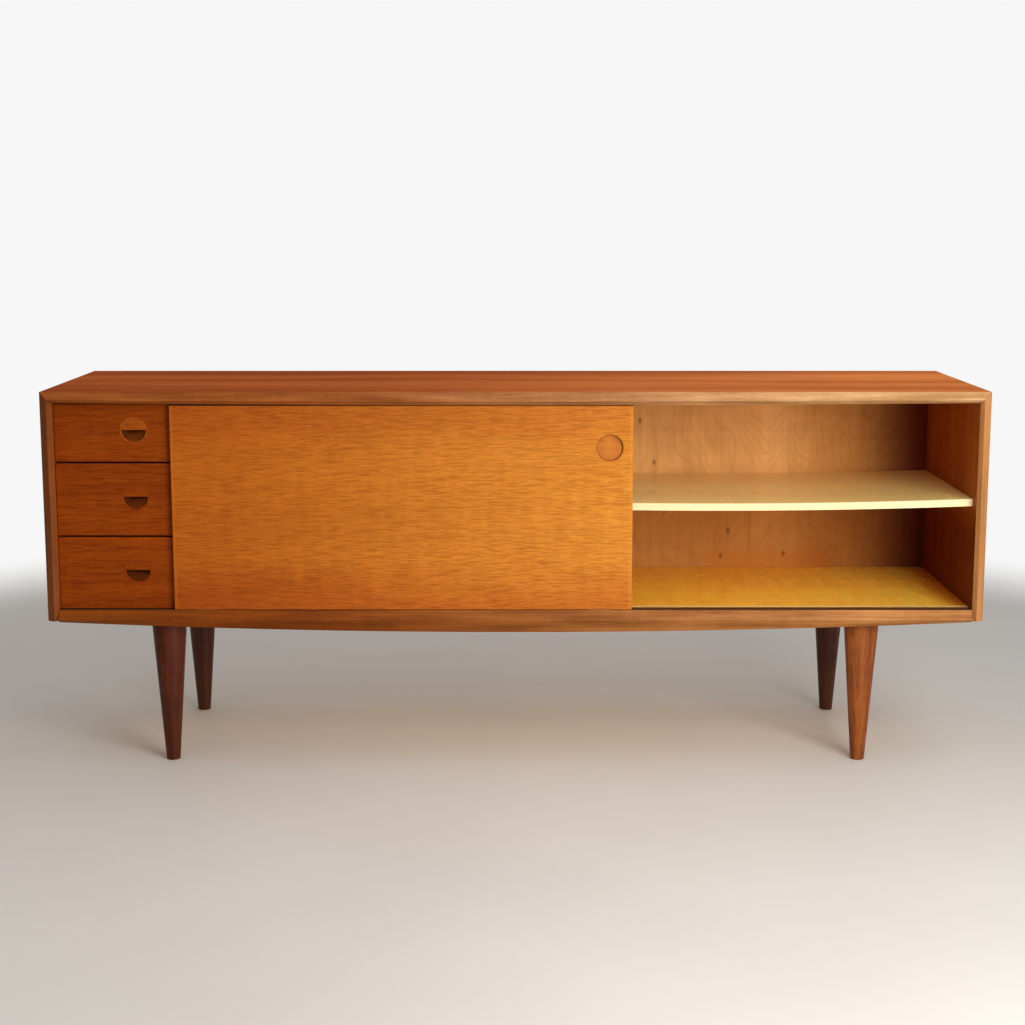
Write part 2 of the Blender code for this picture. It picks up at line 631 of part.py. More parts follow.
def build_drawer(name, low_z, front_height):
    front_middle = low_z + front_height / 2
    body = add_empty(f"{name}_body", ((DRAWER_LEFT + DRAWER_RIGHT) / 2, DRAWER_FACE, front_middle))
    front_mesh = box_mesh(
        (DRAWER_LEFT, DRAWER_FACE, low_z),
        (DRAWER_RIGHT, DRAWER_FACE + DRAWER_FRONT_THICKNESS, low_z + front_height))
    front = add_piece(f"{name}_front", front_mesh, "teak_drawer", body)
    build_drawer_pull(
        f"{name}_pull", DRAWER_RIGHT - DRAWER_PULL_FROM_RIGHT, front_middle + DRAWER_PULL_RAISE,
        front, body)

    base = low_z + DRAWER_BOX_RAISE
    height = front_height - DRAWER_BOX_LOWER
    for side_name, outer, inward in (("left", DRAWER_LEFT, 1), ("right", DRAWER_BOX_RIGHT, -1)):
        outline = drawer_side_outline(outer, inward, base, height)
        mesh = extruded_mesh(outline, "Y", DRAWER_BOX_FRONT, DRAWER_BOX_BACK)
        add_piece(f"{name}_{side_name}_side", mesh, "drawer_box", body)

    inner_left = DRAWER_LEFT + DRAWER_SIDE_THICKNESS
    inner_right = DRAWER_BOX_RIGHT - DRAWER_SIDE_THICKNESS
    floor_low = base + DRAWER_BOTTOM_RAISE + GAP
    bottom = box_mesh(
        (inner_left - DRAWER_BOTTOM_INSET, DRAWER_BOX_FRONT, floor_low),
        (inner_right + DRAWER_BOTTOM_INSET, DRAWER_BOX_BACK, floor_low + DRAWER_BOTTOM))
    add_piece(f"{name}_bottom", bottom, "drawer_box", body)
    back = box_mesh(
        (inner_left + GAP, DRAWER_BOX_BACK - DRAWER_BACK_THICKNESS, floor_low + DRAWER_BOTTOM + GAP),
        (inner_right - GAP, DRAWER_BOX_BACK, base + height - DRAWER_BACK_DROP))
    add_piece(f"{name}_back", back, "drawer_box", body)
    build_runners(name, base + height * RUNNER_SHARE)


def build_runners(name, middle_z):
    """Two fixed strips that the notched drawer sides slide on."""
    middle_y = (DRAWER_BOX_FRONT + DRAWER_BOX_BACK) / 2
    for side_name, face, inward in (
            ("left", INNER_LEFT, 1), ("right", DRAWER_DIVIDER_LEFT, -1)):
        near, far = face + inward * GAP, face + inward * (RUNNER_REACH + GAP)
        low = (min(near, far), middle_y - RUNNER_LENGTH / 2, middle_z - RUNNER_HEIGHT / 2)
        high = (max(near, far), middle_y + RUNNER_LENGTH / 2, middle_z + RUNNER_HEIGHT / 2)
        add_piece(f"{name}_{side_name}_runner", box_mesh(low, high), "drawer_box")


def build_drawers():
    names = ("upper_drawer", "middle_drawer", "lower_drawer")
    low_z = INNER_FLOOR + DRAWER_BOTTOM_GAP
    for name, front_height in zip(reversed(names), reversed(DRAWER_FRONT_HEIGHTS)):
        build_drawer(name, low_z, front_height)
        low_z += front_height + DRAWER_FRONT_GAP


# Doors -------------------------------------------------------------------------------

def door_outline(face):
    """Section of a door: glide groove in its lower edge, tongue on its upper edge."""
    middle = face + DOOR_THICKNESS / 2
    back = face + DOOR_THICKNESS
    groove_top = DOOR_BOTTOM + LOWER_GROOVE_DEPTH
    tongue_top = DOOR_TOP + TONGUE_HEIGHT
    return [
        (face, DOOR_BOTTOM), (middle - GROOVE_WIDTH / 2, DOOR_BOTTOM),
        (middle - GROOVE_WIDTH / 2, groove_top), (middle + GROOVE_WIDTH / 2, groove_top),
        (middle + GROOVE_WIDTH / 2, DOOR_BOTTOM), (back, DOOR_BOTTOM), (back, DOOR_TOP),
        (middle + TONGUE_THICKNESS / 2, DOOR_TOP), (middle + TONGUE_THICKNESS / 2, tongue_top),
        (middle - TONGUE_THICKNESS / 2, tongue_top), (middle - TONGUE_THICKNESS / 2, DOOR_TOP),
        (face, DOOR_TOP)]


def door_pull_profile():
    """A shallow turned dish, from the middle of its hollow round its rim to its back."""
    rim = DOOR_PULL_RADIUS
    floor = -DOOR_PULL_HOLLOW
    return [
        (0.0, floor), (rim - 0.0060, floor + 0.0003), (rim - 0.0026, floor + 0.0012),
        (rim - 0.0016, floor + 0.0026), (rim - 0.0012, 0.0), (rim, 0.0),
        (rim, -DOOR_PULL_DEPTH), (0.0, -DOOR_PULL_DEPTH)]


def build_door(name, face):
    right = DOOR_LEFT_AT_REST + DOOR_WIDTH
    body = add_empty(
        f"{name}_body", ((DOOR_LEFT_AT_REST + right) / 2, face + DOOR_THICKNESS / 2, DOOR_BOTTOM))
    mesh = extruded_mesh(door_outline(face), "X", DOOR_LEFT_AT_REST, right)
    panel = add_piece(f"{name}_panel", mesh, "teak_door", body)

    pull_x = right - DOOR_PULL_FROM_EDGE
    pull_z = DOOR_TOP - DOOR_PULL_FROM_TOP
    pocket = cylinder_mesh(
        (pull_x, face, pull_z), (0, 1, 0), DOOR_PULL_RADIUS + GAP, 2 * (DOOR_PULL_DEPTH + GAP))
    cut(panel, f"{name}_pull_pocket", pocket)
    add_turned_piece(
        f"{name}_pull", door_pull_profile(), "teak_solid", (pull_x, face, pull_z),
        (math.radians(90), 0, 0), body)

    middle = face + DOOR_THICKNESS / 2
    glide_low = INNER_FLOOR - LOWER_GROOVE_DEPTH + GAP
    glide_high = DOOR_BOTTOM + LOWER_GROOVE_DEPTH - GAP
    for side_name, x in (
            ("left", DOOR_LEFT_AT_REST + GLIDE_INSET), ("right", right - GLIDE_INSET)):
        glide = box_mesh(
            (x - GLIDE_LENGTH / 2, middle - TONGUE_THICKNESS / 2, glide_low),
            (x + GLIDE_LENGTH / 2, middle + TONGUE_THICKNESS / 2, glide_high))
        add_piece(f"{name}_{side_name}_glide", glide, "nylon", body)


# Everything --------------------------------------------------------------------------

clear_scene()
parts = make_collection("teak_sideboard")
cutters = make_collection("cutters")
for finish_name, (colour, roughness, metallic) in FINISHES.items():
    materials[finish_name] = make_material(finish_name, colour, roughness, metallic)

build_top()
build_sides()
build_floor()
build_back_and_dividers()
build_side_lippings()
build_top_lipping()
build_lower_rail()
build_tracks()
build_shelf()
build_legs()
build_drawers()
build_door("front_door", FRONT_DOOR_FACE)
build_door("rear_door", REAR_DOOR_FACE)
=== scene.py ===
"""Looks of the teak sideboard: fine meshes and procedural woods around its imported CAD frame."""

import math

import bmesh
import bpy
from mathutils import Matrix, Vector


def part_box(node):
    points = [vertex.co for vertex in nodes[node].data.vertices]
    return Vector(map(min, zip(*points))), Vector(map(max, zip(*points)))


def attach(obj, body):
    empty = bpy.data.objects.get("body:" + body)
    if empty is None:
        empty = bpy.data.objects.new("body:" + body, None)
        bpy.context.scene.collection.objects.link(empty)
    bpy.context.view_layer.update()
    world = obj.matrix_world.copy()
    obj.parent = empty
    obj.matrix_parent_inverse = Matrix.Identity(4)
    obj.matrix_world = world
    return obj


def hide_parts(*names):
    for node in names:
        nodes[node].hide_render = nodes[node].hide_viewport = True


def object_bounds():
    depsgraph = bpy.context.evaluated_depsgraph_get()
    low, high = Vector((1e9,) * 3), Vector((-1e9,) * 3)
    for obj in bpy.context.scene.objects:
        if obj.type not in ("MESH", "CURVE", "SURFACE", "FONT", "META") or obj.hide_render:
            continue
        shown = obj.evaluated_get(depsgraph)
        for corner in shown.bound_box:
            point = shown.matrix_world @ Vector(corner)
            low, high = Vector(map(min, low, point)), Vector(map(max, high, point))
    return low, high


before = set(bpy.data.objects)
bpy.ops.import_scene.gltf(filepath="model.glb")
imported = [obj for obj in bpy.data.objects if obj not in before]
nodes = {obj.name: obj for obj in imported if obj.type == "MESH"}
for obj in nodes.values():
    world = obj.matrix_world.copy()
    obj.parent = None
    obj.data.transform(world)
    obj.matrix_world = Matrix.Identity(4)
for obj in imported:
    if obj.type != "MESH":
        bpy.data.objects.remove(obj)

cad_box = [list(corner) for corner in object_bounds()]

# Camera and light ---------------------------------------------------------------------

CAMERA_PLACE = (-0.0057, -3.662, 1.0681)
CAMERA_PITCH = 9.355          # degrees below the horizon
CAMERA_LENS = 64.05           # for the 36 mm sensor

WINDOW_PLACE = (1.30, -2.35, 1.30)
WINDOW_AIM = (0.0, -0.2, 0.45)
WINDOW_SIZE = (1.3, 1.9)
WINDOW_POWER = 62
WINDOW_COLOUR = (1.0, 0.98, 0.95)
OVERHEAD_PLACE = (0.3, -0.8, 3.2)
OVERHEAD_AIM = (0.0, 0.0, 0.4)
OVERHEAD_SIZE = (4.0, 3.0)
OVERHEAD_POWER = 14
OVERHEAD_COLOUR = (1.0, 1.0, 1.0)
ROOM_COLOUR = (1.0, 0.985, 0.97)
ROOM_LOW = 0.34               # brightness of the room at eye level
ROOM_HIGH = 0.60              # and overhead
ROOM_TILT = 0.40              # how much brighter it is towards the window
BACKDROP = (0.93, 0.93, 0.93)
FLOOR_SIZE = 4.0
FLOOR_TONES = ((0.645, 0.615, 0.58), (0.685, 0.655, 0.62))
STAGE_FLOOR_PAINTED_SHADE = ((1.0, 1.0, 1.0), (0.88, 0.90, 0.92))   # painted shade, darker towards the window
STAGE_FLOOR_SHADE_REACH = (0.2, 1.6)
FLOOR_FADE = (1.75, 2.5)      # distance from the middle where the floor fades out

# Colours in linear light, each the middle tone of its material ------------------------

TEAK_DOOR = (0.60, 0.195, 0.020)
TEAK_DRAWER = (0.255, 0.042, 0.002)
TEAK_PULL = (0.33, 0.070, 0.005)
TEAK_DOOR_PULL = (0.48, 0.145, 0.022)
# painted shade in the hollows of the pulls
PULL_PAINTED_SHADE = (0.040, 0.007, 0.001)
TEAK_TOP = (0.38, 0.088, 0.016)
TEAK_SIDE = (0.34, 0.082, 0.013)
LIPPING_TOP = (0.36, 0.117, 0.028)
# the left lipping's colour holds painted shade, the right one's painted light from the window side
LEFT_LIPPING_PAINTED_SHADE = (0.210, 0.058, 0.013)
RIGHT_LIPPING_PAINTED_LIGHT = (0.42, 0.175, 0.055)
RAIL = (0.26, 0.080, 0.016)
BIRCH_BACK = (0.88, 0.46, 0.140)
BIRCH_SHELF = (1.0, 0.80, 0.28)
BIRCH_FLOOR = (1.0, 0.53, 0.050)
SHELF_EDGE = (1.0, 0.75, 0.45)
FLOOR_EDGE = (0.98, 0.70, 0.26)
STAIN = (0.90, 0.33, 0.04)
KNOT = (0.16, 0.05, 0.010)
DRAWER_BOX = (0.60, 0.42, 0.24)
TRACK = (0.09, 0.034, 0.013)
LEG_FRONT = (0.077, 0.0135, 0.0029)
LEG_REAR = (0.060, 0.0165, 0.0055)
LEG_WARM = (0.275, 0.073, 0.0118)
LEG_BLOCK = (0.30, 0.15, 0.07)
BRASS_TONES = ((0.25, 0.14, 0.03), (0.68, 0.45, 0.14))
NYLON_TONES = ((0.48, 0.45, 0.37), (0.75, 0.72, 0.62))
CLOUD_TONES = (0.3, 0.7)      # noise values between which a mottled colour changes

# Painted light and shade, as factors that change a colour from one end of a reach to the other

PLAIN = (1.0, 1.0, 1.0)
TOP_PAINTED_LIGHT = ((1.05, 0.90, 0.48), (1.76, 2.14, 2.40))
TOP_LIPPING_PAINTED_LIGHT = ((0.83, 0.68, 0.47), (1.58, 2.75, 5.00))
RAIL_PAINTED_LIGHT = ((0.76, 0.52, 0.11), (1.58, 2.10, 2.90))
DOOR_PAINTED_LIGHT = ((0.71, 0.51, 0.31), (1.01, 1.10, 1.14))
BAY_FLOOR_PAINTED_LIGHT = ((1.00, 0.95, 0.75), (1.08, 1.15, 1.35))
SIDE_PAINTED_SHADE_AND_LIGHT = ((0.52, 0.35, 0.43), (1.19, 1.30, 1.09))
BACK_NEAR_CORNER_PAINTED_SHADE = (PLAIN, (0.72, 0.62, 0.45))        # painted shade on the back panel, towards the corner
BACK_CORNER_PAINTED_SHADE = (PLAIN, (0.25, 0.08, 0.04))      # and painted shade in the corner itself
BAY_FLOOR_CORNER_PAINTED_SHADE = (PLAIN, (0.55, 0.30, 0.15))
BACK_UNDER_SHELF_PAINTED_SHADE = ((0.66, 0.54, 0.38), PLAIN)

# Where the painted light and shade begin and end, in metres -------------------------------

TOP_START = -0.35             # X where painted light starts to lighten the top towards its right end
FRONT_START = -0.5            # and the top lipping and the rail
DOOR_OVERRUN = 0.1            # how far a door's painted light reaches past its ends
BAY_START = 0.63              # share of the floor panel's length to the left of its painted light
NEAR_CORNER_SHADE_REACH = (0.33, 0.20)     # painted shade near the corner: distances from the bay's right end, start and end
CORNER_REACH = (0.17, 0.005)
FLOOR_CORNER_REACH = (0.07, 0.0)
BACK_REACH = (0.10, 0.02)     # painted shade, below and above the shelf
SIDE_REACH = (0.06, 0.02)
FACE_DEPTH = (0.001, 0.002)   # how deep behind a face its own paint fades out

# Marks in the woods -------------------------------------------------------------------

DOOR_END_STRIP = 0.006        # solid strips at both ends of a door
DOOR_TONGUE = 0.0122          # height of the tongue above the door's shoulder
TONGUE_PAINTED_SHADE = 0.4            # its colour, painted shade, as a share of the track's
DOOR_RED_ABOVE = (0.115, 0.045)   # distances from the door's top, start and end
DOOR_RED_BELOW = (0.125, 0.015)   # and from its bottom
DOOR_RED_RAGGED = 0.16        # how far the borders of the red bands wander
DOOR_RED = (0.80, 0.62, 0.60)
FLOOR_STRIP_SETBACK = 0.0245  # from the floor panel's front edge, behind the rail
FLOOR_STRIP_WIDTH = 0.016
SHELF_STRIP_WIDTH = 0.006
CONTOUR = (0.66, 0.52, 0.44)
CONTOUR_COUNT = 30.0          # growth contours from the lowest to the highest tone
CONTOUR_WIDTH = 0.22          # share of the distance between two contours
STAIN_HEIGHT = (0.368, 0.380)
STAIN_WIDTH = (0.415, 0.675)
STAIN_RAGGED = 0.05
# Knots on the back panel, as (X, Z).
KNOTS = ((0.266, 0.629), (0.297, 0.540), (0.458, 0.392), (0.443, 0.337), (0.578, 0.342))
KNOT_SIZE = (0.001, 0.006)    # radius of a knot's core and of its edge
KNOT_HEIGHT = 0.6             # flattens the distance along Z, so that knots are tall

# Fine shapes --------------------------------------------------------------------------

BOARD_EDGE = 0.0004           # rounding of edges that meet another piece
FREE_EDGE = 0.0007            # rounding of edges that are touched
ROUND_STEPS = 96
MERGE_DISTANCE = 0.00001
SHARP_ANGLE = 22              # faces that meet at a greater angle keep a sharp edge

LEG_FOOT_RADIUS = 0.0135
LEG_TENON_RADIUS = 0.0125
LEG_TENON_HEIGHT = 0.0094
LEG_EDGE = 0.0015

PULL_LIP = 0.003              # thickness of the half disc that the fingers hook behind
PULL_MOUTH_RADIUS = 0.0242
PULL_BOWL_RADIUS = 0.0224
PULL_BOWL_DEPTH = 0.0104
PULL_EDGE = 0.0006
RECESS_MARGIN = 0.0006        # between a face and the painted shade behind it
RECESS_SHARES = (0.62, 0.90)  # how dark the painted shade in a recess is at its bottom, and from its middle up
DISH_HOLLOW = 0.0054
DISH_RING = 0.0012            # width of the flush ring round the dish
DISH_COVE = 0.0022            # how far the floor curves up into the wall

# How many waves a metre holds, along the grain and across it.
BAND_GRAIN = (0.8, 10.0)
STREAK_GRAIN = (5.0, 110.0)
LINE_GRAIN = (30.0, 520.0)
RIPPLE_GRAIN = (48.0, 9.0)
WANDER_GRAIN = (1.6, 3.0)

GRAIN_WANDER = 0.03           # how far the grain strays from a straight line
PORE_TONES = (0.60, 0.74)     # noise above which a pore opens, and is fully open
PORE_SHADE = 0.35             # a pore's colour as a share of the wood's
NOISE_GAIN = 3                # spreads a noise's narrow range about 0.5

AXES = {"X": 0, "Y": 1, "Z": 2}
SIDES = ("left", "right")
ROWS = ("front", "rear")
DRAWERS = ("upper_drawer", "middle_drawer", "lower_drawer")
DOORS = ("front_door", "rear_door")


# Shader helpers -----------------------------------------------------------------------

class Shader:
    """A material's node tree with short ways to add nodes."""

    def __init__(self, name, **surface):
        self.material = bpy.data.materials.new(name)
        self.material.use_nodes = True
        self.tree = self.material.node_tree
        self.surface = self.tree.nodes["Principled BSDF"]
        for socket, value in surface.items():
            self.surface.inputs[socket.replace("_", " ")].default_value = value
        self.place = self.add("ShaderNodeTexCoord").outputs["Object"]

    def add(self, kind, inputs=None, **settings):
        node = self.tree.nodes.new(kind)
        for key, value in settings.items():
            setattr(node, key, value)
        for key, value in (inputs or {}).items():
            self.feed(node.inputs[key], value)
        return node

    def feed(self, socket, value):
        if isinstance(value, bpy.types.NodeSocket):
            self.tree.links.new(value, socket)
        else:
            socket.default_value = value

    def math(self, operation, first, second=0.0, clamp=False):
        node = self.add("ShaderNodeMath", {0: first, 1: second}, operation=operation)
        node.use_clamp = clamp
        return node.outputs[0]

    def axis(self, name):
        return self.add("ShaderNodeSeparateXYZ", {0: self.place}).outputs[name]

    def stretch(self, scale, shift=(0, 0, 0), place=None):
        """The place vector, scaled and shifted along each axis."""
        node = self.add(
            "ShaderNodeMapping",
            {"Vector": place or self.place, "Scale": scale, "Location": shift})
        return node.outputs["Vector"]

    def noise(self, place, detail=2.0, roughness=0.5, distortion=0.0):
        node = self.add("ShaderNodeTexNoise", {
            "Vector": place, "Scale": 1.0, "Detail": detail, "Roughness": roughness,
            "Distortion": distortion})
        return node.outputs["Fac"]

    def span(self, value, low, high, to_low=0.0, to_high=1.0):
        """value from low to high, mapped smoothly onto another range and held at its ends."""
        node = self.add("ShaderNodeMapRange", {
            "Value": value, "From Min": low, "From Max": high, "To Min": to_low,
            "To Max": to_high}, interpolation_type="SMOOTHSTEP")
        return node.outputs["Result"]

    def between(self, value, low, high, soft):
        """1 between low and high, and 0 outside, over a soft border."""
        rise = self.span(value, low - soft, low + soft)
        fall = self.span(value, high - soft, high + soft, 1.0, 0.0)
        return self.math("MULTIPLY", rise, fall)

    def sum_of(self, layers):
        """A tone about 0.5 from (noise value, weight) layers."""
        tone = 0.5
        for value, weight in layers:
            swing = self.math("MULTIPLY", self.math("SUBTRACT", value, 0.5), weight * NOISE_GAIN)
            tone = self.math("ADD", tone, swing)
        return self.math("ADD", tone, 0.0, clamp=True)

    def ramp(self, value, *stops):
        """A colour ramp through (position, linear colour) stops."""
        node = self.add("ShaderNodeValToRGB", {"Fac": value})
        elements = node.color_ramp.elements
        while len(elements) < len(stops):
            elements.new(0.5)
        for element, (position, colour) in zip(elements, stops):
            element.position = position
            element.color = (*colour, 1.0)
        return node.outputs["Color"]

    def mix(self, share, first, second, blend="MIX"):
        node = self.add("ShaderNodeMix", data_type="RGBA", blend_type=blend)
        self.feed(node.inputs["Factor"], share)
        colour_inputs = [socket for socket in node.inputs if socket.type == "RGBA"]
        for socket, value in zip(colour_inputs, (first, second)):
            if isinstance(value, tuple):
                value = (*value, 1.0)
            self.feed(socket, value)
        return [socket for socket in node.outputs if socket.type == "RGBA"][0]

    def drift(self, colour, axis, reach, factors):
        """The colour times factors that change smoothly over a reach of one axis."""
        share = self.span(self.axis(axis), *reach)
        tint = self.mix(share, *factors)
        return self.mix(1.0, colour, tint, "MULTIPLY")

    def finish(self, colour, roughness, height, depth):
        """Feeds the surface, whose colour reflects no more light than falls on it."""
        held = self.add(
            "ShaderNodeVectorMath", {0: colour, 1: PLAIN}, operation="MINIMUM")
        self.feed(self.surface.inputs["Base Color"], held.outputs[0])
        self.feed(self.surface.inputs["Roughness"], roughness)
        bump = self.add("ShaderNodeBump", {
            "Height": height, "Distance": depth, "Strength": 1.0})
        self.feed(self.surface.inputs["Normal"], bump.outputs["Normal"])
        return self.material


def along(axis, lengthwise, across):
    """A scale that stretches a pattern along the grain."""
    scale = [across, across, across]
    scale[AXES[axis]] = lengthwise
    return tuple(scale)


def scaled(colour, factor):
    return tuple(channel * factor for channel in colour)


def shades(colour, spread):
    """Stops from a darker, redder shade through the middle tone to a lighter, yellower one."""
    reach = (1.0, 1.3, 1.6)
    dark = tuple(c * (1 - spread * r) for c, r in zip(colour, reach))
    light = tuple(c * (1 + spread * r) for c, r in zip(colour, reach))
    return (0.0, dark), (0.5, colour), (1.0, light)


# Woods --------------------------------------------------------------------------------

def wood(name, grain, colour, shift=(0, 0, 0), face="", spread=0.3, band=0.45, streak=0.4,
         line=0.35, ripple=0.12, figure=0.0, figure_scale=(0.9, 8.0), rings=6.0, pores=0.35,
         roughness=0.5, specular=0.1, relief=0.00008, overlay=None):
    """Veneer or solid wood with its grain along one axis, and its broad face across another.

    shift moves the pattern, so that no two pieces are alike. spread is the contrast. band,
    streak, line, ripple and figure say how strongly each layer shifts the tone, from broad
    bands down to fine lines, ripples across the grain, and growth rings. pores darkens the
    open pores, and overlay paints what is particular to one piece.
    """
    shader = Shader(name, Specular_IOR_Level=specular)
    wander = shader.noise(shader.stretch(along(grain, *WANDER_GRAIN), shift), detail=1.0)
    offset = shader.add("ShaderNodeCombineXYZ", {
        axis: shader.math("MULTIPLY", wander, GRAIN_WANDER)
        for axis in "XYZ" if axis not in grain + face})
    place = shader.add(
        "ShaderNodeVectorMath", {0: offset.outputs[0], 1: shader.place},
        operation="ADD").outputs[0]

    def layer(lengthwise, across, **settings):
        return shader.noise(
            shader.stretch(along(grain, lengthwise, across), shift, place), **settings)

    lines = layer(*LINE_GRAIN, detail=1.5, roughness=0.6)
    layers = [
        (layer(*BAND_GRAIN, detail=2.0), band), (layer(*STREAK_GRAIN, detail=3.0), streak),
        (lines, line), (layer(*RIPPLE_GRAIN, detail=2.0), ripple)]
    if figure:
        hills = layer(*figure_scale, detail=1.0, distortion=0.3)
        ring = shader.math("PINGPONG", shader.math("MULTIPLY", hills, rings), 0.5)
        layers.append((shader.math("ADD", ring, 0.25), figure))
    tone = shader.sum_of(layers)
    painted = shader.ramp(tone, *shades(colour, spread))

    dashes = layer(*LINE_GRAIN, detail=1.0)
    open_pores = shader.span(dashes, *PORE_TONES, 0.0, pores)
    painted = shader.mix(open_pores, painted, scaled(colour, PORE_SHADE))
    if overlay is not None:
        painted = overlay(shader, painted)
    gloss = shader.span(tone, 0.0, 1.0, roughness + 0.07, roughness - 0.05)
    height = shader.math("SUBTRACT", shader.math("MULTIPLY", lines, 0.6), open_pores)
    return shader.finish(painted, gloss, height, relief)


def door_overlay(low, high):
    """Redder bands above and below, lighter solid strips at both ends, painted light and shade along
    the door, darker at its left end, and painted shade on the tongue.
    """
    def paint(shader, colour):
        x, z = shader.axis("X"), shader.axis("Z")
        cloud = shader.noise(shader.stretch((2.5, 2.5, 14.0)), detail=3.0)
        ragged = shader.math("MULTIPLY", shader.math("SUBTRACT", cloud, 0.5), DOOR_RED_RAGGED)
        level = shader.math("ADD", z, ragged)
        above = shader.span(level, *(high[2] - distance for distance in DOOR_RED_ABOVE))
        below = shader.span(level, *(low[2] + distance for distance in DOOR_RED_BELOW))
        red = shader.math(
            "MAXIMUM", shader.math("MULTIPLY", above, 0.55), shader.math("MULTIPLY", below, 0.95))
        colour = shader.mix(red, colour, DOOR_RED, "MULTIPLY")
        inside = shader.between(x, low[0] + DOOR_END_STRIP, high[0] - DOOR_END_STRIP, 0.0003)
        ends = shader.math("MULTIPLY", shader.math("SUBTRACT", 1.0, inside), 0.22)
        colour = shader.mix(ends, colour, scaled(TEAK_DOOR, 1.4))
        # painted light and shade along the door: darker to the left, lighter towards the window
        reach = (low[0] - DOOR_OVERRUN, high[0] + DOOR_OVERRUN)
        colour = shader.drift(colour, "X", reach, DOOR_PAINTED_LIGHT)
        # painted shade on the tongue, where the top lipping shades it
        shoulder = high[2] - DOOR_TONGUE
        tongue = shader.span(z, shoulder - 0.0008, shoulder + 0.0004)
        return shader.mix(tongue, colour, scaled(TRACK, TONGUE_PAINTED_SHADE))
    return paint


def painted_light_to_the_right(factors, start):
    """Painted light and shade along the length of the carcase, from a start up to its right end."""
    reach = (start, cad_box[1][0])
    return lambda shader, colour: shader.drift(colour, "X", reach, factors)


def front_strip(edge, width, tint, share):
    """A paler solid strip along the front edge of a board."""
    def paint(shader, colour):
        near = shader.span(shader.axis("Y"), edge + width, edge + width + 0.0005, share, 0.0)
        return shader.mix(near, colour, tint)
    return paint


def before_the_corner(reach):
    """Two places along X, at distances from the right end of the right bay."""
    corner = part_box("shelf")[1][0]
    return corner - reach[0], corner - reach[1]


def on_the_face(shader, axis, face):
    """1 on a face that looks down an axis, and 0 on the rest of the board behind it."""
    start, end = FACE_DEPTH
    return shader.span(shader.axis(axis), face + start, face + end, 1.0, 0.0)


def floor_marks(shader, colour):
    """The floor panel, with painted light to the right, painted shade in the corner, and paler in
    front.
    """
    low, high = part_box("bottom_panel")
    bay = (low[0] + BAY_START * (high[0] - low[0]), high[0])
    # painted light along the bay, and painted shade in its right corner
    colour = shader.drift(colour, "X", bay, BAY_FLOOR_PAINTED_LIGHT)
    colour = shader.drift(colour, "X", before_the_corner(FLOOR_CORNER_REACH), BAY_FLOOR_CORNER_PAINTED_SHADE)
    front = low[1] + FLOOR_STRIP_SETBACK
    return front_strip(front, FLOOR_STRIP_WIDTH, FLOOR_EDGE, 0.7)(shader, colour)


def inner_shade(inner_face):
    """Painted shade on the side panel's inner face: browner and darker towards the floor, lighter
    higher up.
    """
    def paint(shader, colour):
        low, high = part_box("shelf")
        reach = (low[2] - SIDE_REACH[0], high[2] + SIDE_REACH[1])
        # painted shade low on the inner face and painted light higher up
        drifted = shader.drift(colour, "Z", reach, SIDE_PAINTED_SHADE_AND_LIGHT)
        return shader.mix(on_the_face(shader, "X", inner_face), colour, drifted)
    return paint


def recess(box, start, end):
    """Painted shade: darkens what lies between two depths behind a pull's face, most at its top."""
    low, high = box

    def paint(shader, colour):
        inside = shader.between(shader.axis("Y"), low[1] + start, low[1] + end, 0.0004)
        share = shader.span(shader.axis("Z"), low[2], (low[2] + high[2]) / 2, *RECESS_SHARES)
        return shader.mix(shader.math("MULTIPLY", inside, share), colour, PULL_PAINTED_SHADE)
    return paint


def contours(shader, colour):
    """Thin growth contours of a rotary-cut veneer."""
    hills = shader.noise(shader.stretch((5.5, 5.5, 1.6), (2, 1, 6)), detail=2.0, distortion=0.4)
    contour = shader.math("PINGPONG", shader.math("MULTIPLY", hills, CONTOUR_COUNT), 0.5)
    thin = shader.span(contour, 0.0, CONTOUR_WIDTH, 0.21, 0.0)
    return shader.mix(thin, colour, CONTOUR, "MULTIPLY")


def stain(shader, colour):
    """A stain along the foot of the back panel, with a ragged upper border."""
    cloud = shader.noise(shader.stretch((26.0, 26.0, 14.0)), detail=4.0)
    ragged = shader.math("MULTIPLY", cloud, STAIN_RAGGED)
    level = shader.math("ADD", shader.axis("Z"), ragged)
    low = shader.span(level, *STAIN_HEIGHT, 1.0, 0.0)
    wide = shader.between(shader.axis("X"), *STAIN_WIDTH, 0.015)
    share = shader.math("MULTIPLY", shader.math("MULTIPLY", low, wide), 0.5)
    return shader.mix(share, colour, STAIN)


def knot(shader, colour, x, z):
    across = shader.math("SUBTRACT", shader.axis("X"), x)
    down = shader.math("MULTIPLY", shader.math("SUBTRACT", shader.axis("Z"), z), KNOT_HEIGHT)
    distance = shader.math("SQRT", shader.math(
        "ADD", shader.math("MULTIPLY", across, across), shader.math("MULTIPLY", down, down)))
    return shader.mix(shader.span(distance, *KNOT_SIZE, 0.65, 0.0), colour, KNOT)


def plywood_marks(shader, colour):
    """Contours on both faces, and on the inner one a stain, knots, painted shade under the shelf and
    painted shade towards the corner.
    """
    plain = contours(shader, colour)
    marked = stain(shader, plain)
    for x, z in KNOTS:
        marked = knot(shader, marked, x, z)
    shelf_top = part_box("shelf")[1][2]
    # painted shade under the shelf, towards the corner and in the corner
    marked = shader.drift(
        marked, "Z", (shelf_top - BACK_REACH[0], shelf_top + BACK_REACH[1]), BACK_UNDER_SHELF_PAINTED_SHADE)
    marked = shader.drift(marked, "X", before_the_corner(NEAR_CORNER_SHADE_REACH), BACK_NEAR_CORNER_PAINTED_SHADE)
    marked = shader.drift(marked, "X", before_the_corner(CORNER_REACH), BACK_CORNER_PAINTED_SHADE)
    inside = on_the_face(shader, "Y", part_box("back_panel")[0][1])
    return shader.mix(inside, plain, marked)


